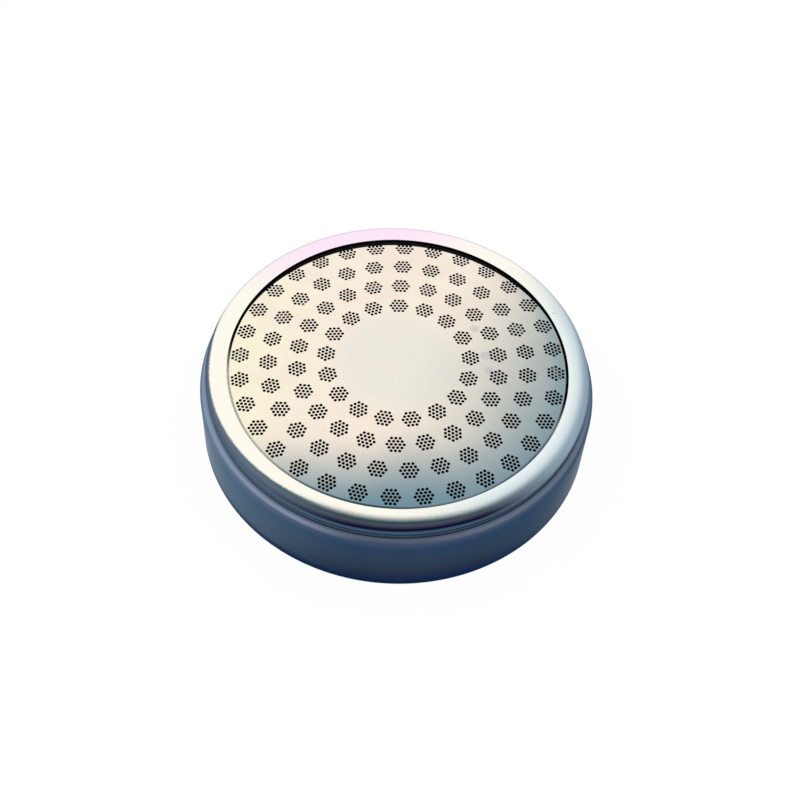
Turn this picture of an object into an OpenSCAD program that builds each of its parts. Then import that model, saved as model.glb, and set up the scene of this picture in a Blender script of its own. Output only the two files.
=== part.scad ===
// Shower screen for an espresso brewing group: a drawn steel cup that clamps an etched, domed
// membrane and its punched support plate. It rests on its open mouth, perforated face up.
// Origin: centre of the mouth, in the plane that the hem stands on. Millimetres.

/* [Case] */
// Outside diameter of the straight skirt
skirt_d = 60; // [58:0.5:70]
// Height from the hem to the flat of the rim
height = 14.4; // [12:0.1:20]
// Thickness of the drawn sheet
sheet_t = 0.5; // [0.4:0.05:0.6]
// How much smaller the rim is than the skirt, on the radius
rim_inset = 1; // [0.8:0.05:1.2]
// Outside radius of the bend between the rim's flat and its wall
rim_bend_r = 1.1; // [1:0.05:1.3]
// Width of the lip, from the rim's wall to the opening
lip_w = 3.3; // [3:0.05:4]
// Rounding of the lip's upper edge
lip_edge_r = 0.15; // [0.05:0.01:0.2]
// Outside radius of the shoulder that leads into the skirt
shoulder_r = 1.7; // [1.4:0.05:2.2]
// Distance from the crimp groove's centre down to the top of the shoulder
shoulder_drop = 0.98; // [0.8:0.02:1.2]
// Outside radius of the curled hem
hem_r = 1; // [0.8:0.05:1.4]
// Width of the hem's flat, from the end of its bend to the mouth
hem_flat = 0.4; // [0.2:0.05:0.8]

/* [Crimp] */
// Radius of the groove that is rolled in under the plate
groove_r = 0.25; // [0.22:0.01:0.3]
// How far the groove's centre lies inside the rim's wall
groove_inset = 0.05; // [0:0.01:0.1]
// Radius of the fine line below the bead
line_r = 0.1; // [0.08:0.01:0.12]
// Distance from the groove's centre down to the fine line
line_drop = 0.5; // [0.46:0.01:0.56]
// Clearance between the clamped pieces and the case
fit_gap = 0.03; // [0.02:0.005:0.04]

/* [Membrane] */
// Thickness of the membrane
membrane_t = 0.2; // [0.15:0.01:0.25]
// Radius of the sphere that the dome is part of
dome_r = 284; // [220:1:400]
// Height of the pressed step from the clamped margin to the dome
step_h = 0.39; // [0.3:0.01:0.5]
// Plain sheet between the outermost clusters' ground and the top of the step
step_land = 0.03; // [0.02:0.01:0.1]
// Distance from the lip's edge to the foot of the step
step_gap = 0.05; // [0.02:0.01:0.08]

/* [Pattern] */
// Rings of hole clusters
rings = 4; // [2:1:5]
// Clusters in the outermost ring
outer_count = 32; // [26:1:36]
// Clusters that each ring has fewer than the ring outside it
count_step = 5; // [4:1:6]
// Distance between rings
ring_pitch = 4.31; // [4:0.01:4.5]
// Distance from the lip's edge to the outermost ring
ring_margin = 1.84; // [1.8:0.01:2.4]
// Direction of the first cluster of every ring
first_angle = -56; // [-180:1:180]
// Diameter of one etched hole
hole_d = 0.45; // [0.35:0.01:0.5]
// Distance between the holes of a cluster
hole_pitch = 0.62; // [0.58:0.01:0.64]

/* [Support plate] */
// Thickness of the plate
plate_t = 0.4; // [0.4:0.05:0.6]
// Gap between the membrane's dome and the plate's
dome_gap = 0.05; // [0.03:0.01:0.1]
// How much wider a punched hole is than the cluster that it feeds
punch_extra = 0.06; // [0.02:0.01:0.15]

/* [Hidden] */

$fn = 96;
// Facets of the dome's very large spheres, which need finer steps than the rest
dome_fn = 256;
hole_fn = 16;
// Holes from a cluster's centre to its corner: 2 gives rows of 3, 4, 5, 4 and 3
cluster_size = 2;
// How far a cutting shape runs past the surface that it cuts
past = 1;

skirt_radius = skirt_d / 2;
rim_radius = skirt_radius - rim_inset;
opening_radius = rim_radius - lip_w;
mouth_radius = skirt_radius - hem_r - hem_flat;

// The clamped stack, from the lip's underside down
margin_top = height - sheet_t;
margin_bottom = margin_top - membrane_t;
plate_bottom = margin_bottom - plate_t;
rim_bend_radius = rim_radius - rim_bend_r;
inner_bend_r = rim_bend_r - sheet_t;
membrane_radius = rim_bend_radius - fit_gap;
plate_radius = rim_bend_radius - fit_gap
    + sqrt(pow(inner_bend_r, 2) - pow(inner_bend_r - membrane_t, 2));

// The groove lies where its inner side touches the plate's lower edge, but for the clearance
groove_radius = rim_radius - groove_inset;
crimp_r = groove_r + sheet_t;
groove_z = plate_bottom - sqrt(pow(crimp_r + fit_gap, 2) - pow(groove_radius - plate_radius, 2));
shoulder_top = groove_z - shoulder_drop;

// Each cluster of etched holes has a level ground, just inside the punched hole that feeds it
outer_ring = opening_radius - ring_margin;
punch_d = 2 * cluster_size * hole_pitch + hole_d + punch_extra;
ground_r = punch_d / 2 - punch_extra / 4;

// The dome rises from the top of the step, which lies outside the outermost clusters
foot_radius = opening_radius - step_gap;
step_radius = outer_ring + ground_r + step_land;
step_w = foot_radius - step_radius;
dome_z = margin_top + step_h - sqrt(pow(dome_r, 2) - pow(step_radius, 2));
plate_dome_r = dome_r - membrane_t - dome_gap;

// One stretch of the half section: full radius, round at its two outer corners
module stretch(radius, z0, z1, top_r, bottom_r) {
    translate([0, z0 + bottom_r]) square([radius, z1 - z0 - top_r - bottom_r]);
    if (top_r > 0) {
        translate([0, z0 + bottom_r]) square([radius - top_r, z1 - z0 - bottom_r]);
        translate([radius - top_r, z1 - top_r]) circle(r = top_r);
    }
    if (bottom_r > 0) {
        translate([0, z0]) square([radius - bottom_r, z1 - z0 - top_r]);
        translate([radius - bottom_r, z0 + bottom_r]) circle(r = bottom_r);
    }
}

// Half section of the cup as a solid, its outer or its inner surface by the inset
module cup_section(inset) {
    stretch(rim_radius - inset, hem_r, height - inset, rim_bend_r - inset, 0);
    stretch(skirt_radius - inset, inset, shoulder_top - inset, shoulder_r - inset, hem_r - inset);
}

module groove_section(radius) {
    translate([groove_radius, groove_z]) circle(r = radius);
}

// The opening inside the lip, with the round of the lip's upper edge
module opening_section() {
    translate([0, margin_top - past]) square([opening_radius, sheet_t + 2 * past]);
    difference() {
        translate([opening_radius - past, height - lip_edge_r])
            square([past + lip_edge_r, lip_edge_r + past]);
        translate([opening_radius + lip_edge_r, height - lip_edge_r]) circle(r = lip_edge_r);
    }
}

module case_section() {
    difference() {
        cup_section(0);
        groove_section(groove_r);
        translate([rim_radius, groove_z - line_drop]) circle(r = line_r);
        difference() {
            cup_section(sheet_t);
            groove_section(crimp_r);
        }
        opening_section();
        translate([0, -past]) square([mouth_radius, sheet_t + 2 * past]);
    }
}

module case() {
    color([0.78, 0.78, 0.77]) rotate_extrude() case_section();
}

// A ball about the dome's centre. It lies on its side, so that its poles are away from the dome
module dome_ball(radius) {
    translate([0, 0, dome_z]) rotate([90, 0, 0]) sphere(r = radius, $fn = dome_fn);
}

// What lies under a domed surface: the step as a cone, closed above by the ball
module domed_solid(foot, top, z, rise, ball_r) {
    intersection() {
        translate([0, 0, z]) union() {
            cylinder(r1 = foot, r2 = top, h = rise);
            translate([0, 0, rise]) cylinder(r = top, h = 2 * rise + pow(top, 2) / dome_r);
        }
        dome_ball(ball_r);
    }
}

// Places its children on every cluster's axis, which passes through the dome's centre
module at_clusters() {
    for (inward = [0 : rings - 1]) {
        count = outer_count - inward * count_step;
        ring_radius = outer_ring - inward * ring_pitch;
        for (i = [0 : count - 1])
            translate([0, 0, dome_z])
                rotate([0, 0, first_angle + i * 360 / count])
                    rotate([0, asin(ring_radius / dome_r), 0])
                        children();
    }
}

// One cluster's level ground: a round of sheet with a hexagon of holes, whose rows lie across
// the radius. The round's rims lie in the dome's two faces
module cluster_ground() {
    under = sqrt(pow(dome_r - membrane_t, 2) - pow(ground_r, 2));
    over = sqrt(pow(dome_r, 2) - pow(ground_r, 2));
    translate([0, 0, under]) linear_extrude(over - under) difference() {
        circle(r = ground_r);
        for (row = [-cluster_size : cluster_size]) {
            count = 2 * cluster_size + 1 - abs(row);
            for (i = [0 : count - 1])
                translate([row * hole_pitch * sin(60), (i - (count - 1) / 2) * hole_pitch])
                    circle(d = hole_d, $fn = hole_fn);
        }
    }
}

module membrane() {
    color([0.86, 0.84, 0.8]) union() {
        difference() {
            union() {
                translate([0, 0, margin_bottom]) cylinder(r = membrane_radius, h = membrane_t);
                domed_solid(foot_radius, step_radius, margin_top, step_h, dome_r);
            }
            domed_solid(foot_radius, step_radius, margin_bottom, step_h, dome_r - membrane_t);
            at_clusters() translate([0, 0, dome_r - membrane_t - past])
                cylinder(r = ground_r, h = membrane_t + 2 * past);
        }
        at_clusters() cluster_ground();
    }
}

module support_plate() {
    top_foot = foot_radius - fit_gap;
    bottom_foot = top_foot - plate_t / 2;
    color([0.62, 0.63, 0.64]) difference() {
        union() {
            translate([0, 0, plate_bottom]) cylinder(r = plate_radius, h = plate_t);
            domed_solid(top_foot, top_foot - step_w, margin_bottom, step_h, plate_dome_r);
        }
        domed_solid(bottom_foot, bottom_foot - step_w, plate_bottom, step_h, plate_dome_r - plate_t);
        at_clusters()
            translate([0, 0, plate_dome_r - plate_t - past])
                cylinder(d = punch_d, h = plate_t + 2 * past);
    }
}

case();
membrane();
support_plate();
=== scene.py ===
"""Looks of the espresso shower screen: the drawn case, the etched membrane and the punched plate behind it.

Lengths are metres in the part's own frame: +Z leaves the perforated face, the origin is the centre of
the mouth, and the hem stands on z = 0. The camera looks along +Y and down.
"""

import logging
import math
from dataclasses import dataclass, field
from enum import Enum
from typing import Any, Callable, Sequence

import bmesh
import bpy
from mathutils import Matrix, Vector

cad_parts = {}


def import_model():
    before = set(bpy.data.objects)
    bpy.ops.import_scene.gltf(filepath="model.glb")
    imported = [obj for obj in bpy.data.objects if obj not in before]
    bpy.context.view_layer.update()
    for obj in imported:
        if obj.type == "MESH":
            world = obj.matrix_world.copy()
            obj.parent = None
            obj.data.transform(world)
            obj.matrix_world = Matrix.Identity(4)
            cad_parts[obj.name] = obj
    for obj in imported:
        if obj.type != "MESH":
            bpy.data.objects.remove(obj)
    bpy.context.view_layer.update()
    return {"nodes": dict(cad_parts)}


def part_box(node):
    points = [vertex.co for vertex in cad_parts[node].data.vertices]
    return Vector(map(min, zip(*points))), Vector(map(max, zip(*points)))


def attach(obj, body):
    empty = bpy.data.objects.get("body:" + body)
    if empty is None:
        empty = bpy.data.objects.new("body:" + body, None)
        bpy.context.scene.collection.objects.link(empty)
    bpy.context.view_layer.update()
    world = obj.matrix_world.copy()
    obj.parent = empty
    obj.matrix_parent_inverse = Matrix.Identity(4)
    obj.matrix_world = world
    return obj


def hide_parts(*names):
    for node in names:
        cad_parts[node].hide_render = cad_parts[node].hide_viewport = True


LOG = logging.getLogger("shower_screen")
MM = 0.001
ROOT_BODY = "root"
# Height of the fine grain on every steel finish
GRAIN_DEPTH = 0.01 * MM
# Points of a profile that lie closer than this are one point
SAME_POINT = 1e-7
Rgb = tuple[float, float, float]
Point2 = tuple[float, float]


def srgb(red: float, green: float, blue: float) -> Rgb:
    """Turns a colour as seen on a screen, 0 to 255, into the linear values that a shader takes."""

    def linear(channel: float) -> float:
        """Undoes the screen's curve for one channel."""
        value = channel / 255
        return value / 12.92 if value <= 0.04045 else ((value + 0.055) / 1.055) ** 2.4

    return linear(red), linear(green), linear(blue)


class Side(Enum):
    """Which way an arc of a profile turns."""

    LEFT = 1
    RIGHT = -1


class Value:
    """A number socket of a shader, on which Python's operators add Math nodes."""

    def __init__(self, tree: bpy.types.NodeTree, socket: Any) -> None:
        self.tree = tree
        self.socket = socket

    def math(self, operation: str, *others: Any) -> "Value":
        """Adds one Math node that starts with this value.

        Args:
            operation: the Math node's operation.
            others: further values or plain numbers.

        Returns:
            The node's result.
        """
        node = self.tree.nodes.new("ShaderNodeMath")
        node.operation = operation
        for slot, item in zip(node.inputs, (self, *others)):
            if isinstance(item, Value):
                self.tree.links.new(item.socket, slot)
            else:
                slot.default_value = item
        return Value(self.tree, node.outputs[0])

    def __add__(self, other: Any) -> "Value":
        """Adds."""
        return self.math("ADD", other)

    def __radd__(self, other: Any) -> "Value":
        """Adds, with the number first."""
        return self.math("ADD", other)

    def __sub__(self, other: Any) -> "Value":
        """Takes away."""
        return self.math("SUBTRACT", other)

    def __rsub__(self, other: float) -> "Value":
        """Takes this value from a number."""
        return self.math("MULTIPLY", -1.0).math("ADD", other)

    def __mul__(self, other: Any) -> "Value":
        """Multiplies."""
        return self.math("MULTIPLY", other)

    def __rmul__(self, other: Any) -> "Value":
        """Multiplies, with the number first."""
        return self.math("MULTIPLY", other)

    def __truediv__(self, other: Any) -> "Value":
        """Divides."""
        return self.math("DIVIDE", other)

    def fade(self, low: float, high: float) -> "Value":
        """Rises smoothly from 0 at low to 1 at high.

        Args:
            low: where the result is 0.
            high: where the result is 1, below low for a falling fade.

        Returns:
            The smooth step.
        """
        node = self.tree.nodes.new("ShaderNodeMapRange")
        node.interpolation_type = "SMOOTHSTEP"
        self.tree.links.new(self.socket, node.inputs["Value"])
        flip = high < low
        node.inputs["From Min"].default_value = high if flip else low
        node.inputs["From Max"].default_value = low if flip else high
        node.inputs["To Min"].default_value = 1.0 if flip else 0.0
        node.inputs["To Max"].default_value = 0.0 if flip else 1.0
        return Value(self.tree, node.outputs[0])


class Shader:
    """A material's or the world's node tree, with short calls for the nodes that the finishes use."""

    def __init__(self, owner: bpy.types.Material | bpy.types.World) -> None:
        owner.use_nodes = True
        self.owner = owner
        self.tree = owner.node_tree
        self.principled = self.tree.nodes.get("Principled BSDF")

    def node(self, kind: str, settings: dict[str, Any], **sockets: Any) -> Any:
        """Adds one node.

        Args:
            kind: the node's type.
            settings: attributes that are set before the sockets.
            sockets: values or links by socket name, with _ for a space.

        Returns:
            The node.
        """
        made = self.tree.nodes.new(kind)
        for key, setting in settings.items():
            setattr(made, key, setting)
        for key, item in sockets.items():
            self.feed(made.inputs[key.replace("_", " ")], item)
        return made

    def feed(self, socket: Any, item: Any) -> None:
        """Links a value or a socket to an input, or sets a plain number there."""
        if isinstance(item, Value):
            self.tree.links.new(item.socket, socket)
        elif isinstance(item, bpy.types.NodeSocket):
            self.tree.links.new(item, socket)
        else:
            socket.default_value = item

    def place(self) -> Any:
        """The object's own coordinates, which are the part's frame in metres."""
        return self.node("ShaderNodeTexCoord", {}).outputs["Object"]

    def set(self, **sockets: Any) -> None:
        """Sets the Principled node's inputs, by name with _ for a space."""
        for key, item in sockets.items():
            self.feed(self.principled.inputs[key.replace("_", " ")], item)

    def axes(self) -> tuple[Value, Value, Value]:
        """The three coordinates in millimetres."""
        scaled = self.node("ShaderNodeVectorMath", {"operation": "SCALE"}, Vector=self.place(), Scale=1 / MM)
        split = self.node("ShaderNodeSeparateXYZ", {}, Vector=scaled.outputs[0])
        return tuple(Value(self.tree, out) for out in split.outputs)

    def noise(self, stretch: Sequence[float], detail: float = 3.0, vector: Any = None) -> Value:
        """Smooth noise in millimetres.

        Args:
            stretch: noise cells per millimetre along X, Y and Z.
            detail: octaves of finer noise.
            vector: coordinates to read, or None for the object's own.

        Returns:
            The noise, about 0.5.
        """
        scale = tuple(item / MM for item in stretch) if vector is None else tuple(stretch)
        source = self.place() if vector is None else vector
        moved = self.node("ShaderNodeMapping", {}, Vector=source, Scale=scale)
        texture = self.node("ShaderNodeTexNoise", {}, Vector=moved.outputs[0], Scale=1.0, Detail=detail)
        return Value(self.tree, texture.outputs["Fac"])

    def mix(self, factor: Any, first: Any, second: Any, blend: str = "MIX") -> Any:
        """Mixes two colours.

        Args:
            factor: how much of the second colour.
            first: a colour or a colour socket.
            second: a colour or a colour socket.
            blend: how the two are blended.

        Returns:
            The colour socket.
        """
        made = self.node("ShaderNodeMix", {"data_type": "RGBA", "blend_type": blend})
        self.feed(made.inputs[0], factor)
        for socket, item in ((made.inputs[6], first), (made.inputs[7], second)):
            self.feed(socket, (*item, 1.0) if isinstance(item, tuple) else item)
        return made.outputs[2]

    def ramp(self, factor: Value, stops: Sequence[tuple[float, Rgb]]) -> Any:
        """A colour that follows a value through stops.

        Args:
            factor: the value, 0 to 1.
            stops: position and colour of each stop, in order.

        Returns:
            The colour socket.
        """
        made = self.node("ShaderNodeValToRGB", {}, Fac=factor)
        elements = made.color_ramp.elements
        for index, (position, colour) in enumerate(stops):
            stop = elements[index] if index < 2 else elements.new(position)
            stop.position = position
            stop.color = (*colour, 1.0)
        return made.outputs[0]

    def bump(self, height: Value, distance: float, strength: float) -> None:
        """Feeds a height into the normal.

        Args:
            height: the height, 0 to 1.
            distance: what 1 stands for, in metres.
            strength: how much of it is used.
        """
        made = self.node("ShaderNodeBump", {}, Strength=strength, Distance=distance, Height=height)
        self.tree.links.new(made.outputs[0], self.principled.inputs["Normal"])


def inner_shadow(along: Value, across: Value) -> Value:
    """Where the step between the lip and the membrane lies in the dark: all round but for the front.

    Args:
        along: the direction's share along +Y.
        across: its share along +X.

    Returns:
        1 in the dark, 0 at the front.
    """
    return (along + across * 0.15).fade(-0.28, 0.0)


@dataclass(frozen=True)
class SatinSteel:
    """The case's outside: satin sheet, with painted reflections that make it pale on top and slate blue down
    the wall.

    Its painted tone, painted reflections down the wall with a painted shadow in the crimp groove, follows
    the way down the outline, from the lip over the bend to the hem. That way is the radius less a share of
    the height, in millimetres, so that it grows all along the visible outline.
    """

    name: str = "satin_steel"
    roughness: float = 0.34
    height_share: float = 0.59
    way_shift: float = 0.1
    way_start: float = 19.0
    way_end: float = 29.5
    # Painted reflections down the wall, darker navy towards the hem, with a painted shadow of the crimp
    # groove at 20.82 to 21.00.
    painted_light_tones: tuple[tuple[float, Rgb], ...] = (
        (19.30, srgb(60, 82, 92)),
        (19.70, srgb(50, 70, 82)),
        (20.15, srgb(70, 82, 95)),
        (20.50, srgb(58, 50, 72)),
        (20.82, srgb(10, 12, 40)),
        (21.00, srgb(8, 16, 42)),
        (21.18, srgb(58, 82, 106)),
        (21.40, srgb(80, 108, 134)),
        (21.60, srgb(58, 75, 98)),
        (21.80, srgb(68, 83, 104)),
        (22.15, srgb(76, 90, 108)),
        (22.60, srgb(90, 97, 116)),
        (23.10, srgb(68, 82, 104)),
        (23.50, srgb(57, 75, 102)),
        (24.00, srgb(49, 69, 99)),
        (25.50, srgb(53, 69, 91)),
        (27.30, srgb(52, 63, 79)),
        (28.10, srgb(47, 52, 73)),
        (28.80, srgb(38, 46, 75)),
        (29.40, srgb(26, 39, 67)),
    )
    # Painted highlight colours for the rim's top: warm white, pinkish, pale by the lip and bluish towards
    # the outer edge.
    highlight_cream: Rgb = srgb(255, 252, 239)
    highlight_blush: Rgb = srgb(255, 233, 249)
    pale: Rgb = srgb(238, 247, 245)
    cool_reflection: Rgb = srgb(166, 187, 200)
    # Painted sheen for the wall's sides; the scratch on the lip also takes the right side's slate.
    left_sheen: Rgb = srgb(124, 147, 167)
    right_sheen_and_scratch: Rgb = srgb(89, 106, 123)
    roll_right_sheen: Rgb = srgb(160, 183, 198)
    # Painted highlight along the shoulder.
    shoulder_highlight: Rgb = srgb(150, 160, 188)
    # Painted light on the lip's inner wall: painted shade, a dim painted reflection and a painted highlight.
    edge_shadow: Rgb = srgb(5, 5, 10)
    edge_dim_reflection: Rgb = srgb(105, 127, 140)
    edge_highlight: Rgb = srgb(228, 225, 217)
    glance: Rgb = srgb(174, 186, 200)
    nick_mm: Point2 = (23.8, 12.05)

    def make(self) -> bpy.types.Material:
        """Builds the material.

        Returns:
            The material.
        """
        shader = Shader(bpy.data.materials.new(self.name))
        x, y, z = shader.axes()
        radius = (x * x + y * y).math("SQRT")
        across = x / radius
        along = y / radius
        turn = (along * -1.0).math("ARCCOSINE") * math.degrees(1.0)
        right = across.fade(-0.25, 0.25)
        grain = shader.noise((4.0, 4.0, 4.0), detail=2.0)
        streak = shader.noise((0.07, 0.07, 0.5), detail=2.0) - 0.5
        fuzz = shader.noise((2.5, 2.5, 2.5), detail=3.0) - 0.5
        way = radius - z * self.height_share + self.way_shift
        span = self.way_end - self.way_start
        stops = [((place - self.way_start) / span, tone) for place, tone in self.painted_light_tones]
        # The wall's painted reflections and the groove's painted shadow, read along the way down.
        wall = shader.ramp((way + streak * 0.12 - self.way_start) / span, stops)
        wall = self.sides(shader, wall, way, turn, right, streak)
        # Painted highlight on the rim's top; its edge reaches further out towards the left and the rear.
        left_shift = (1.0 - right) * turn.fade(10.0, 80.0) * 0.95
        right_shift = right * turn.fade(5.0, 35.0) * 0.45
        edge = way - left_shift - right_shift - turn.fade(88.0, 125.0) * 1.1 + fuzz * 0.25
        # Painted reflection: pinker towards the rear, bluish towards the right and the outer edge.
        rosy = along.fade(0.35, 0.9) * (1.0 - across.fade(0.0, 0.5) * 0.9)
        top = shader.mix(rosy, self.highlight_cream, self.highlight_blush)
        cool_reflection = shader.mix(radius.fade(25.4, 29.6), self.pale, self.cool_reflection)
        top = shader.mix((across - along * 0.35).fade(0.3, 0.9), top, cool_reflection)
        crisp = (1.0 - right) * turn.fade(12.0, 35.0)
        soft_edge = edge.fade(19.7, 18.3)
        rim_highlight = soft_edge + crisp * (edge.fade(19.25, 18.85) - soft_edge)
        colour = shader.mix(rim_highlight, wall, top)
        colour = shader.mix(self.nick(x, y) * 0.4, colour, self.right_sheen_and_scratch)
        # Painted light on the lip's inner wall: a dim painted reflection at the front, a painted highlight
        # beside it, painted shade round the sides and the rear.
        lip_wall = shader.mix((across * 0.4 - along).fade(0.5, 0.95), self.edge_highlight, self.edge_dim_reflection)
        lip_wall = shader.mix(inner_shadow(along, across), lip_wall, self.edge_shadow)
        colour = shader.mix(radius.fade(25.83, 25.76), colour, lip_wall)
        shader.set(Base_Color=colour, Metallic=1.0, Roughness=(grain - 0.5) * 0.12 + self.roughness)
        shader.set(Specular_Tint=(*self.glance, 1.0))
        shader.bump(grain, GRAIN_DEPTH, 0.3)
        return shader.owner

    def nick(self, x: Value, y: Value) -> Value:
        """Where the small scratch lies on the lip, at the right.

        Args:
            x: the first coordinate in millimetres.
            y: the second one.

        Returns:
            1 on the scratch.
        """
        centre_x, centre_y = self.nick_mm
        dx = x - centre_x
        dy = y - centre_y
        length = dx * 0.97 + dy * 0.25
        width = dy * 0.97 - dx * 0.25
        return length.math("ABSOLUTE").fade(0.5, 0.25) * width.math("ABSOLUTE").fade(0.12, 0.03)

    def sides(self, shader: Shader, wall: Any, way: Value, turn: Value, right: Value, streak: Value) -> Any:
        """Paints a sheen on the wall towards both sides, a painted reflection of the studio.

        Args:
            shader: the material's wrapper.
            wall: the wall's colour as seen from the front.
            way: the way down the outline.
            turn: degrees away from the front.
            right: 1 on the right half, 0 on the left one.
            streak: soft streaks about 0.

        Returns:
            The wall's colour all round.
        """
        roll = way.fade(21.9, 21.3)
        left_amount = roll * turn.fade(8.0, 50.0) * 0.55 + (1.0 - roll) * turn.fade(5.0, 80.0)
        right_amount = roll * turn.fade(25.0, 65.0) + (1.0 - roll) * turn.fade(15.0, 100.0)
        amount = left_amount + right * (right_amount - left_amount)
        # Painted sheen: slate on the left, lighter over the roll on the right, weaker near the hem.
        tone = shader.mix(roll, self.right_sheen_and_scratch, self.roll_right_sheen)
        tone = shader.mix(right, self.left_sheen, tone)
        hem = way.fade(28.4, 29.3) * 0.7
        sheened = shader.mix(amount * (0.8 - hem + streak * 0.3), wall, tone)
        # Painted highlight: a light strip along the shoulder, towards both sides.
        shoulder_highlight = way.fade(22.4, 22.7) * way.fade(23.4, 23.0) * turn.fade(4.0, 30.0) * (0.62 - right * 0.42)
        return shader.mix(shoulder_highlight, sheened, self.shoulder_highlight)


@dataclass(frozen=True)
class InnerSteel:
    """The case's inside and the plate: plain drawn sheet, duller than the outside."""

    name: str
    tone: Rgb = srgb(168, 172, 176)
    roughness: float = 0.42

    def make(self) -> bpy.types.Material:
        """Builds the material.

        Returns:
            The material.
        """
        shader = Shader(bpy.data.materials.new(self.name))
        cloud = shader.noise((0.12, 0.12, 0.3))
        colour = shader.mix(cloud.fade(0.3, 0.7) * 0.3, self.tone, srgb(132, 138, 146))
        grain = shader.noise((4.0, 4.0, 4.0), detail=2.0)
        shader.set(Base_Color=colour, Metallic=1.0, Roughness=(grain - 0.5) * 0.2 + self.roughness)
        shader.bump(grain, GRAIN_DEPTH, 0.3)
        return shader.owner


@dataclass(frozen=True)
class EtchedSteel:
    """The membrane's face: pale smooth steel with painted reflections, warm on one side and blue-grey
    towards the front and right, with a painted shadow of the lip and a painted highlight on the step's foot.
    """

    name: str = "etched_steel"
    roughness: float = 0.36
    # Painted reflections of the studio: warm, yellowish, plain and blue-grey.
    warm: Rgb = srgb(254, 242, 225)
    yellow_reflection: Rgb = srgb(255, 248, 222)
    plain: Rgb = srgb(240, 236, 226)
    rosy: Rgb = srgb(242, 222, 214)
    cool_reflection: Rgb = srgb(110, 146, 159)
    # Painted highlight on the step's foot.
    pale: Rgb = srgb(240, 246, 250)
    # Painted shadow of the lip on the membrane's outer edge.
    dark: Rgb = srgb(5, 5, 10)
    fleck: Rgb = srgb(150, 150, 156)
    smudge: Rgb = srgb(176, 164, 200)
    smudges_mm: tuple[Point2, ...] = ((11.4, 7.3), (13.1, 2.1), (13.75, -0.7))
    step_mm: float = 25.37

    def make(self) -> bpy.types.Material:
        """Builds the material.

        Returns:
            The material.
        """
        shader = Shader(bpy.data.materials.new(self.name))
        x, y, _ = shader.axes()
        radius = (x * x + y * y).math("SQRT")
        patches = shader.noise((0.09, 0.09, 0.09), detail=2.0) - 0.5
        # Painted reflection: yellower towards the left, plainer in the middle.
        colour = shader.mix((x * -1.0).fade(8.0, 24.0), self.warm, self.yellow_reflection)
        colour = shader.mix(radius.fade(12.5, 6.0) * 0.8, colour, self.plain)
        hue = shader.noise((0.11, 0.11, 0.11), detail=1.0)
        colour = shader.mix(hue.fade(0.42, 0.62) * radius.fade(8.0, 12.0) * 0.22, colour, self.rosy)
        # Painted reflection: blue-grey towards the right, the front and the outer edge on the right.
        side = (x - y * 0.35 + patches * 4.0).fade(0.0, 35.0)
        front = (y * -1.0 + x * 0.08 + patches * 3.0).fade(12.0, 26.0)
        colour = shader.mix(1.0 - (1.0 - side) * (1.0 - front), colour, self.cool_reflection)
        rim = radius.fade(22.5, 25.3) * (x / radius).fade(0.3, 0.95)
        colour = shader.mix(rim * 0.35, colour, self.cool_reflection)
        speckle = shader.noise((5.0, 5.0, 5.0), detail=3.0)
        colour = shader.mix((speckle - 0.5).math("ABSOLUTE") * 0.9, colour, self.fleck)
        for across, along in self.smudges_mm:
            dx = x - across
            dy = y - along
            spot = (dx * dx + dy * dy + patches * 1.5).fade(0.9, 0.1)
            colour = shader.mix(spot * 0.35, colour, self.smudge)
        # Painted shadow of the lip across the membrane's outer edge, widest at the rear and none at the
        # front.
        along = y / radius
        across = x / radius
        reach = radius + (along - across * 0.05).fade(0.2, 1.05) * 0.9 - 0.1
        lip_shadow_band = reach.fade(self.step_mm - 0.04, self.step_mm + 0.04) * inner_shadow(along, across)
        # Painted highlight on the step's foot, towards the right and the far left.
        foot_highlight_share = across.fade(-0.1, 0.5) * 0.85 + (across * -1.0).fade(0.55, 0.85) * 0.5
        foot = radius.fade(self.step_mm - 0.02, self.step_mm + 0.04) * foot_highlight_share
        colour = shader.mix(foot, colour, self.pale)
        colour = shader.mix(lip_shadow_band, colour, self.dark)
        shader.set(Base_Color=colour, Metallic=1.0, Roughness=(speckle - 0.5) * 0.12 + self.roughness)
        shader.bump(speckle, GRAIN_DEPTH, 0.2)
        return shader.owner


@dataclass(frozen=True)
class HoleShade:
    """The wall of the membrane's holes and its hidden back, painted near-black as the shade inside the
    holes.
    """

    name: str = "hole_shade"

    def make(self) -> bpy.types.Material:
        """Builds the material.

        Returns:
            The material.
        """
        shader = Shader(bpy.data.materials.new(self.name))
        cloud = shader.noise((1.0, 1.0, 1.0))
        colour = shader.mix(cloud, srgb(12, 12, 18), srgb(22, 22, 28))
        shader.set(Base_Color=colour, Metallic=0.0, Roughness=0.7, Specular_IOR_Level=0.0)
        return shader.owner


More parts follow.
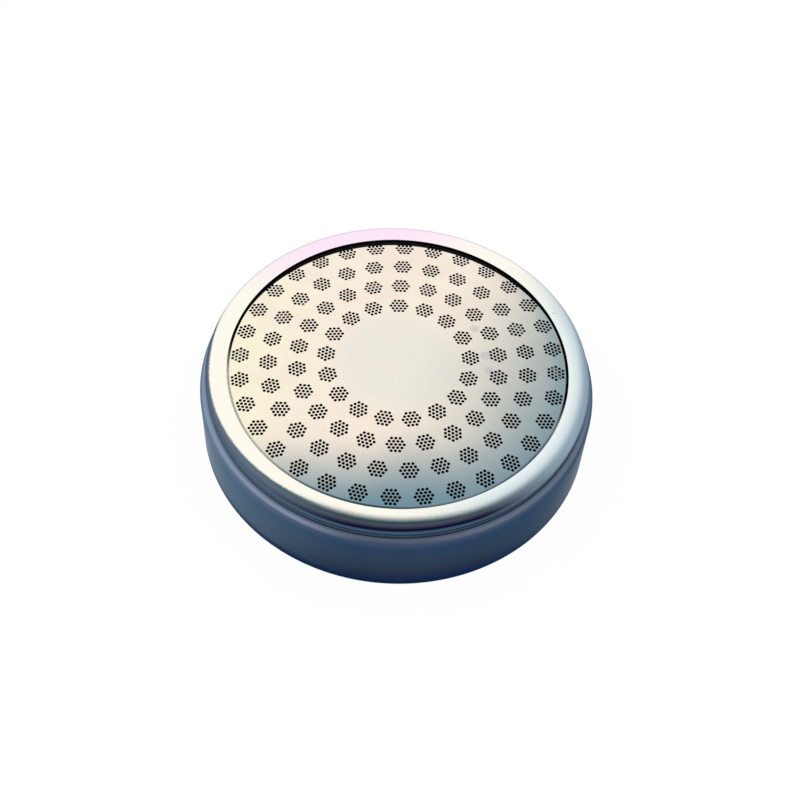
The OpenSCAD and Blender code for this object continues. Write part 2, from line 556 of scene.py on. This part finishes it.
class Profile:
    """An open line in the XZ plane, drawn with bmesh operators from its first point."""

    def __init__(self, radius: float, height: float) -> None:
        self.mesh = bmesh.new()
        self.first = self.mesh.verts.new((radius, 0.0, height))
        self.last = self.first

    def line(self, radius: float, height: float) -> "Profile":
        """Draws a straight stretch.

        Args:
            radius: where it ends, from the axis.
            height: where it ends, from the floor.

        Returns:
            This profile, for the next stretch.
        """
        made = bmesh.ops.extrude_vert_indiv(self.mesh, verts=[self.last])
        self.last = made["verts"][0]
        self.last.co = Vector((radius, 0.0, height))
        return self

    def arc(self, radius: float, height: float, end: Point2, side: Side, step: float = 12.0) -> "Profile":
        """Draws a round stretch about a centre, up to a point.

        Args:
            radius: the centre's distance from the axis.
            height: the centre's height.
            end: a point in the direction in which the arc ends.
            side: which way it turns, seen with the radius to the right and the height up.
            step: degrees that one edge spans at most.

        Returns:
            This profile, for the next stretch.
        """
        centre = Vector((radius, 0.0, height))
        start = self.last.co - centre
        begin = math.atan2(start.z, start.x)
        turn = math.atan2(end[1] - height, end[0] - radius) - begin
        turn = turn % math.tau if side is Side.LEFT else -((-turn) % math.tau)
        steps = max(2, math.ceil(abs(math.degrees(turn)) / step))
        made = bmesh.ops.spin(
            self.mesh,
            geom=[self.last],
            cent=centre,
            axis=(0.0, -1.0, 0.0),
            angle=turn,
            steps=steps,
            use_merge=False,
        )
        self.last = next(item for item in made["geom_last"] if isinstance(item, bmesh.types.BMVert))
        return self

    def close(self) -> "Profile":
        """Joins the end to the first point."""
        bmesh.ops.remove_doubles(self.mesh, verts=self.mesh.verts[:], dist=SAME_POINT)
        return self

    def turned(self, steps: int) -> bmesh.types.BMesh:
        """Turns the profile once round the Z axis.

        Args:
            steps: facets in the full turn.

        Returns:
            The turned mesh.
        """
        bmesh.ops.spin(
            self.mesh,
            geom=self.mesh.verts[:] + self.mesh.edges[:],
            cent=(0.0, 0.0, 0.0),
            axis=(0.0, 0.0, 1.0),
            angle=math.tau,
            steps=steps,
            use_merge=True,
        )
        bmesh.ops.remove_doubles(self.mesh, verts=self.mesh.verts[:], dist=SAME_POINT)
        bmesh.ops.recalc_face_normals(self.mesh, faces=self.mesh.faces[:])
        return self.mesh


def meeting(first: Point2, first_r: float, second: Point2, second_r: float, side: Side) -> Point2:
    """Where two circles cross.

    Args:
        first: the first circle's centre.
        first_r: its radius.
        second: the second circle's centre.
        second_r: its radius.
        side: which of the two crossings, seen from the first centre to the second.

    Returns:
        The crossing.
    """
    gap_x = second[0] - first[0]
    gap_z = second[1] - first[1]
    gap = math.hypot(gap_x, gap_z)
    along = (gap * gap + first_r * first_r - second_r * second_r) / (2 * gap)
    off = side.value * math.sqrt(first_r * first_r - along * along)
    return (
        first[0] + (along * gap_x - off * gap_z) / gap,
        first[1] + (along * gap_z + off * gap_x) / gap,
    )


def absorb(whole: bmesh.types.BMesh, other: bmesh.types.BMesh) -> None:
    """Adds another mesh to the whole and frees it."""
    data = bpy.data.meshes.new("absorbed")
    other.to_mesh(data)
    other.free()
    whole.from_mesh(data)
    bpy.data.meshes.remove(data)


def finished(
    mesh: bmesh.types.BMesh, name: str, finishes: Sequence[bpy.types.Material], sharp: float
) -> bpy.types.Object:
    """Makes a scene object of a finished mesh, smooth but for its sharp edges.

    Args:
        mesh: the mesh, which is freed.
        name: the object's name.
        finishes: its materials, in the order of the faces' indices.
        sharp: the angle in degrees above which an edge stays crisp.

    Returns:
        The object.
    """
    for face in mesh.faces:
        face.smooth = True
    for edge in mesh.edges:
        turned = len(edge.link_faces) == 2 and edge.calc_face_angle(0.0) > math.radians(sharp)
        edge.smooth = not (turned or len(edge.link_faces) == 1)
    data = bpy.data.meshes.new(name)
    mesh.to_mesh(data)
    mesh.free()
    for finish in finishes:
        data.materials.append(finish)
    piece = bpy.data.objects.new(name, data)
    bpy.context.scene.collection.objects.link(piece)
    return piece


@dataclass
class Case:
    """The drawn cup: lip, rim, crimp groove, shoulder, skirt and hem, as one sheet."""

    sheet: float = 0.5 * MM
    rim_inset: float = 1.0 * MM
    rim_bend: float = 1.1 * MM
    lip_width: float = 3.3 * MM
    lip_edge: float = 0.15 * MM
    shoulder_bend: float = 1.7 * MM
    shoulder_drop: float = 0.98 * MM
    hem_bend: float = 1.0 * MM
    hem_flat: float = 0.4 * MM
    groove: float = 0.25 * MM
    groove_inset: float = 0.05 * MM
    groove_depth: float = 1.556 * MM
    line: float = 0.1 * MM
    line_drop: float = 0.5 * MM
    facets: int = 256
    top: float = field(init=False)
    skirt: float = field(init=False)

    def __post_init__(self) -> None:
        """Reads the overall sizes from the frame."""
        _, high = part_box("case")
        self.top = high.z
        self.skirt = high.x

    @property
    def opening(self) -> float:
        """Radius of the opening inside the lip."""
        return self.skirt - self.rim_inset - self.lip_width

    def outside(self, line: Profile) -> None:
        """Draws the outer surface from the lip's edge down to the hem.

        Args:
            line: the profile, which stands at the lip's lower edge.
        """
        rim = self.skirt - self.rim_inset
        groove_z = self.top - self.groove_depth
        groove = (rim - self.groove_inset, groove_z)
        bend = (rim - self.rim_bend, self.top - self.rim_bend)
        fine_z = groove_z - self.line_drop
        shoulder = (self.skirt - self.shoulder_bend, groove_z - self.shoulder_drop - self.shoulder_bend)
        hem = (self.skirt - self.hem_bend, self.hem_bend)
        reach = math.sqrt(self.groove**2 - self.groove_inset**2)
        shoulder_z = shoulder[1] + math.sqrt(self.shoulder_bend**2 - (rim - shoulder[0]) ** 2)
        corner = meeting(bend, self.rim_bend, groove, self.groove, Side.LEFT)
        lip = (self.opening + self.lip_edge, self.top - self.lip_edge)
        line.line(self.opening, lip[1])
        line.arc(*lip, (lip[0], self.top), Side.RIGHT, 30)
        line.line(bend[0], self.top)
        line.arc(*bend, corner, Side.RIGHT, 7)
        line.arc(*groove, (rim, groove_z - reach), Side.LEFT, 15)
        line.line(rim, fine_z + self.line)
        line.arc(rim, fine_z, (rim, fine_z - self.line), Side.LEFT, 30)
        line.line(rim, shoulder_z)
        line.arc(*shoulder, (self.skirt, shoulder[1]), Side.RIGHT, 7)
        line.line(self.skirt, hem[1])
        line.arc(*hem, (hem[0], 0.0), Side.RIGHT, 10)

    def inside(self, line: Profile) -> None:
        """Draws the inner surface from the hem up to the lip.

        Args:
            line: the profile, which stands at the outer end of the hem's flat.
        """
        rim = self.skirt - self.rim_inset
        wall = self.skirt - self.sheet
        throat = rim - self.sheet
        groove = (rim - self.groove_inset, self.top - self.groove_depth)
        crimp = self.groove + self.sheet
        bend = (rim - self.rim_bend, self.top - self.rim_bend)
        inner_bend = self.rim_bend - self.sheet
        hem = (self.skirt - self.hem_bend, self.hem_bend)
        mouth = hem[0] - self.hem_flat
        shoulder = (self.skirt - self.shoulder_bend, groove[1] - self.shoulder_drop - self.shoulder_bend)
        inner_shoulder = self.shoulder_bend - self.sheet
        throat_z = shoulder[1] + math.sqrt(inner_shoulder**2 - (throat - shoulder[0]) ** 2)
        crimp_reach = math.sqrt(crimp**2 - (groove[0] - throat) ** 2)
        corner = meeting(bend, inner_bend, groove, crimp, Side.LEFT)
        line.line(mouth, 0.0)
        line.line(mouth, self.sheet)
        line.line(hem[0], self.sheet)
        line.arc(*hem, (wall, hem[1]), Side.LEFT, 15)
        line.line(wall, shoulder[1])
        line.arc(*shoulder, (throat, throat_z), Side.LEFT, 15)
        line.line(throat, groove[1] - crimp_reach)
        line.arc(*groove, corner, Side.RIGHT, 10)
        line.arc(*bend, (bend[0], self.top - self.sheet), Side.LEFT, 15)
        line.line(self.opening, self.top - self.sheet)

    def build(self) -> bpy.types.Object:
        """Builds and dresses the cup.

        Returns:
            The finished piece.
        """
        line = Profile(self.opening, self.top - self.sheet)
        self.outside(line)
        self.inside(line)
        mesh = line.close().turned(self.facets)
        for face in mesh.faces:
            middle = face.calc_center_median()
            outward = Vector((middle.x, middle.y, 0.0)).normalized().dot(face.normal)
            hidden = face.normal.z < 0.5 and outward < -0.05 and middle.z < self.top - self.sheet
            under = face.normal.z < -0.5 and middle.z > self.hem_bend
            face.material_index = int(hidden or under)
        piece = finished(mesh, "drawn_case", [SatinSteel().make(), InnerSteel("case_inside").make()], 35.0)
        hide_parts("case")
        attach(piece, ROOT_BODY)
        return piece


@dataclass
class Membrane:
    """The etched sheet: clamped margin, pressed step and a shallow dome with its clusters of holes.

    The holes are drawn a little wider than the bore of the CAD part, as wide as they look dark.
    """

    opening: float
    top: float
    sheet: float
    thickness: float = 0.2 * MM
    dome: float = 284.0 * MM
    step_height: float = 0.39 * MM
    step_width: float = 0.28 * MM
    step_gap: float = 0.05 * MM
    margin_width: float = 2.17 * MM
    ring_margin: float = 1.84 * MM
    ring_pitch: float = 4.31 * MM
    rings: int = 4
    outer_count: int = 32
    count_step: int = 5
    first_angle: float = math.radians(-56.0)
    hole: float = 0.245 * MM
    hole_pitch: float = 0.62 * MM
    cluster_size: int = 2
    ground: float = 1.497 * MM
    centre_margin: float = 0.2 * MM
    centre_rings: int = 8
    seam: float = 2e-6
    hole_facets: int = 12
    ground_facets: int = 24
    facets: int = 160

    @property
    def margin_top(self) -> float:
        """Height of the clamped margin's upper face."""
        return self.top - self.sheet

    @property
    def step_radius(self) -> float:
        """Radius at which the step meets the dome."""
        return self.opening - self.step_gap - self.step_width

    def dome_height(self, radius: float) -> float:
        """Height of the dome's face at a radius."""
        drop = math.sqrt(self.dome**2 - radius**2) - math.sqrt(self.dome**2 - self.step_radius**2)
        return self.margin_top + self.step_height + drop

    def cluster_places(self) -> list[tuple[float, float]]:
        """The radius and angle of every cluster."""
        outer = self.opening - self.ring_margin
        places = []
        for inward in reversed(range(self.rings)):
            count = self.outer_count - inward * self.count_step
            radius = outer - inward * self.ring_pitch
            places += [(radius, self.first_angle + math.tau * index / count) for index in range(count)]
        return places

    def cluster_ground(self) -> bmesh.types.BMesh:
        """Makes one round patch of sheet with a hexagon of holes, flat and at the origin.

        Returns:
            The patch.
        """
        patch = bmesh.new()
        bmesh.ops.create_circle(patch, segments=self.ground_facets, radius=self.ground / MM)
        for row in range(-self.cluster_size, self.cluster_size + 1):
            count = 2 * self.cluster_size + 1 - abs(row)
            for index in range(count):
                place = Vector((
                    row * self.hole_pitch * math.sin(math.pi / 3),
                    (index - (count - 1) / 2) * self.hole_pitch,
                    0.0,
                )) / MM
                bmesh.ops.create_circle(
                    patch, segments=self.hole_facets, radius=self.hole / MM, matrix=Matrix.Translation(place)
                )
        bmesh.ops.triangle_fill(patch, edges=patch.edges[:], use_beauty=True, normal=(0.0, 0.0, 1.0))
        return patch

    def web(self, places: Sequence[tuple[float, float]], inner: float) -> bmesh.types.BMesh:
        """Makes the sheet between the clusters' patches, flat.

        Args:
            places: the radius and angle of every cluster.
            inner: radius of the plain centre, which is left open.

        Returns:
            The sheet with one round gap for each patch.
        """
        sheet = bmesh.new()
        bmesh.ops.create_circle(sheet, segments=self.facets, radius=self.step_radius / MM)
        bmesh.ops.create_circle(sheet, segments=self.facets, radius=inner / MM)
        for radius, angle in places:
            turn = Matrix.Rotation(angle, 4, "Z") @ Matrix.Translation((radius / MM, 0.0, 0.0))
            bmesh.ops.create_circle(sheet, segments=self.ground_facets, radius=self.ground / MM, matrix=turn)
        bmesh.ops.triangle_fill(sheet, edges=sheet.edges[:], use_beauty=True, normal=(0.0, 0.0, 1.0))
        return sheet

    def centre(self, radius: float) -> bmesh.types.BMesh:
        """Makes the plain centre as a disc of rings.

        Args:
            radius: the disc's radius.

        Returns:
            The disc.
        """
        line = Profile(0.0, 0.0)
        for ring in range(self.centre_rings):
            line.line(radius * (ring + 1) / self.centre_rings, 0.0)
        return line.turned(self.facets)

    def margin(self) -> bmesh.types.BMesh:
        """Makes the step and the clamped margin outside the dome.

        Returns:
            The ring, at its true height.
        """
        foot = self.step_radius + self.step_width
        line = Profile(self.step_radius, self.dome_height(self.step_radius))
        line.line(foot, self.margin_top)
        line.line(self.opening + self.margin_width, self.margin_top)
        return line.turned(self.facets)

    def build(self) -> bpy.types.Object:
        """Builds and dresses the membrane.

        Returns:
            The finished piece.
        """
        places = self.cluster_places()
        inner = min(radius for radius, _ in places) - self.ground - self.centre_margin
        whole = self.web(places, inner)
        patch = self.cluster_ground()
        patch_data = bpy.data.meshes.new("cluster_ground")
        patch.to_mesh(patch_data)
        patch.free()
        for radius, angle in places:
            before = len(whole.verts)
            whole.from_mesh(patch_data)
            whole.verts.ensure_lookup_table()
            turn = Matrix.Rotation(angle, 4, "Z") @ Matrix.Translation((radius / MM, 0.0, 0.0))
            bmesh.ops.transform(whole, matrix=turn, verts=whole.verts[before:])
        bpy.data.meshes.remove(patch_data)
        bmesh.ops.scale(whole, vec=(MM, MM, MM), verts=whole.verts[:])
        absorb(whole, self.centre(inner))
        for vert in whole.verts:
            vert.co.z = self.dome_height(math.hypot(vert.co.x, vert.co.y))
        absorb(whole, self.margin())
        bmesh.ops.remove_doubles(whole, verts=whole.verts[:], dist=self.seam)
        bmesh.ops.recalc_face_normals(whole, faces=whole.faces[:])
        lowest = min(whole.faces, key=lambda face: face.calc_center_median().z)
        if lowest.normal.z < 0:
            bmesh.ops.reverse_faces(whole, faces=whole.faces[:])
        piece = finished(whole, "etched_membrane", [EtchedSteel().make(), HoleShade().make()], 12.0)
        sheet = piece.modifiers.new("sheet", "SOLIDIFY")
        sheet.thickness = self.thickness
        sheet.offset = -1.0
        # The holes' walls and the back take the painted shade.
        sheet.material_offset = 1
        sheet.material_offset_rim = 1
        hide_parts("membrane")
        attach(piece, ROOT_BODY)
        return piece


@dataclass
class SupportPlate:
    """The punched plate behind the membrane, which is the CAD solid with a finish."""

    def build(self, node: bpy.types.Object) -> bpy.types.Object:
        """Dresses the plate.

        Args:
            node: the CAD node.

        Returns:
            The same node.
        """
        finish = InnerSteel("punched_steel", srgb(120, 124, 130), 0.5).make()
        for slot in node.material_slots:
            slot.material = finish
        return node


@dataclass
class Studio:
    """Camera, lamps, floor and the pale surroundings."""

    image: float = 800.0
    centre_pixel: Point2 = (398.15, 364.6)
    focal: float = 1367.0
    elevation: float = math.radians(51.49)
    roll: float = math.radians(3.51)
    distance: float = 206.4 * MM
    sensor: float = 36.0
    aim_height: float = 14.31 * MM
    daylight: float = 0.99

    def camera(self) -> None:
        """Sets the camera at the photograph's viewing angle."""
        middle = self.image / 2
        back = Vector((0.0, -math.cos(self.elevation), math.sin(self.elevation)))
        forward = -back
        right = forward.cross(Vector((0.0, 0.0, 1.0))).normalized()
        up = right.cross(forward)
        rolled_right = math.cos(self.roll) * right + math.sin(self.roll) * up
        rolled_up = -math.sin(self.roll) * right + math.cos(self.roll) * up
        level = Matrix((rolled_right, -rolled_up, forward))
        ray = Vector((self.centre_pixel[0] - middle, self.centre_pixel[1] - middle, self.focal))
        swing = Vector((0.0, 0.0, 1.0)).rotation_difference(ray).to_matrix()
        rows = swing @ level
        turn = Matrix((rows[0], -rows[1], -rows[2])).transposed().to_4x4()
        data = bpy.data.cameras.new("camera")
        data.sensor_width = self.sensor
        data.lens = self.focal * self.sensor / self.image
        data.clip_start = 0.005
        camera = bpy.data.objects.new("camera", data)
        place = Vector((0.0, 0.0, self.aim_height)) + back * self.distance
        camera.matrix_world = Matrix.Translation(place) @ turn
        bpy.context.scene.collection.objects.link(camera)
        bpy.context.scene.camera = camera

    def lamp(self, name: str, place: Sequence[float], size: float, watts: float, tone: Rgb) -> None:
        """Hangs one soft lamp that faces the screen.

        Args:
            name: the lamp's name.
            place: where it hangs.
            size: its side.
            watts: its power.
            tone: its colour.
        """
        data = bpy.data.lights.new(name, "AREA")
        data.shape = "DISK"
        data.size = size
        data.energy = watts
        data.color = tone
        lamp = bpy.data.objects.new(name, data)
        lamp.location = place
        lamp.visible_glossy = False
        lamp.rotation_euler = Vector(place).to_track_quat("Z", "Y").to_euler()
        bpy.context.scene.collection.objects.link(lamp)

    def white_seen(self, shader: Shader, lit: Any, strength: Value) -> Any:
        """Mixes a plain white into what camera and glossy rays see.

        Args:
            shader: the material or world tree's wrapper.
            lit: the lit shader's socket.
            strength: how much white those rays see.

        Returns:
            The mixed shader's socket.
        """
        path = shader.node("ShaderNodeLightPath", {})
        seen = Value(shader.tree, path.outputs["Is Camera Ray"])
        for other in ("Is Glossy Ray", "Is Transmission Ray"):
            seen = seen.math("MAXIMUM", Value(shader.tree, path.outputs[other]))
        white = shader.node("ShaderNodeEmission", {}, Color=(1.0, 1.0, 1.0, 1.0), Strength=1.0)
        made = shader.node("ShaderNodeMixShader", {}, Fac=seen * strength)
        shader.tree.links.new(lit, made.inputs[1])
        shader.tree.links.new(white.outputs[0], made.inputs[2])
        return made.outputs[0]

    def floor(self) -> None:
        """Lays the pale floor that the screen stands on, with painted shade of near-black under the cup,
        clear from below to let the inside be seen.
        """
        mesh = bmesh.new()
        bmesh.ops.create_circle(mesh, cap_ends=True, segments=64, radius=1.5)
        data = bpy.data.meshes.new("floor")
        mesh.to_mesh(data)
        mesh.free()
        floor = bpy.data.objects.new("floor", data)
        shader = Shader(bpy.data.materials.new("pale_floor"))
        x, y, _ = shader.axes()
        # Painted shade: the floor under the cup is near-black and sees no white, so the inside stays dark
        # through the holes.
        clear = (x * x + y * y).math("SQRT").fade(28.0, 29.5)
        tone = shader.mix(clear, (0.02, 0.02, 0.02), (0.92, 0.92, 0.92))
        shader.set(Base_Color=tone, Roughness=0.9, Specular_IOR_Level=0.0)
        mixed = self.white_seen(shader, shader.principled.outputs[0], clear * 0.96)
        geometry = shader.node("ShaderNodeNewGeometry", {})
        through = shader.node("ShaderNodeBsdfTransparent", {})
        sided = shader.node("ShaderNodeMixShader", {}, Fac=geometry.outputs["Backfacing"])
        shader.tree.links.new(mixed, sided.inputs[1])
        shader.tree.links.new(through.outputs[0], sided.inputs[2])
        shader.tree.links.new(sided.outputs[0], shader.tree.nodes["Material Output"].inputs["Surface"])
        data.materials.append(shader.owner)
        bpy.context.scene.collection.objects.link(floor)

    def surroundings(self) -> None:
        """Lights the world softly and lets the camera see it white."""
        world = bpy.data.worlds.new("studio")
        bpy.context.scene.world = world
        shader = Shader(world)
        background = shader.tree.nodes["Background"]
        background.inputs["Color"].default_value = (1.0, 1.0, 1.0, 1.0)
        path = shader.node("ShaderNodeLightPath", {})
        seen = Value(shader.tree, path.outputs["Is Camera Ray"])
        shader.feed(background.inputs["Strength"], seen * (1.0 - self.daylight) + self.daylight)

    def build(self) -> None:
        """Builds the whole studio."""
        self.camera()
        self.floor()
        self.surroundings()
        self.lamp("key", (-0.35, -0.1, 0.6), 0.35, 1.0, (1.0, 0.98, 0.95))
        self.lamp("fill", (0.45, -0.3, 0.4), 0.4, 0.3, (0.9, 0.95, 1.0))
        scene = bpy.context.scene
        scene.view_settings.view_transform = "Standard"


def main() -> None:
    """Builds the studio and the three pieces."""
    logging.basicConfig(level=logging.INFO, format="%(name)s: %(message)s")
    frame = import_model()
    Studio().build()
    case = Case()
    makers: list[tuple[str, Callable[[], bpy.types.Object]]] = [
        ("case", case.build),
        ("membrane", Membrane(case.opening, case.top, case.sheet).build),
        ("support plate", lambda: SupportPlate().build(frame["nodes"]["support_plate"])),
    ]
    for name, make in makers:
        piece = make()
        LOG.info("%s: %s, %d faces", name, piece.name, len(piece.data.polygons))


if __name__ == "__main__":
    main()
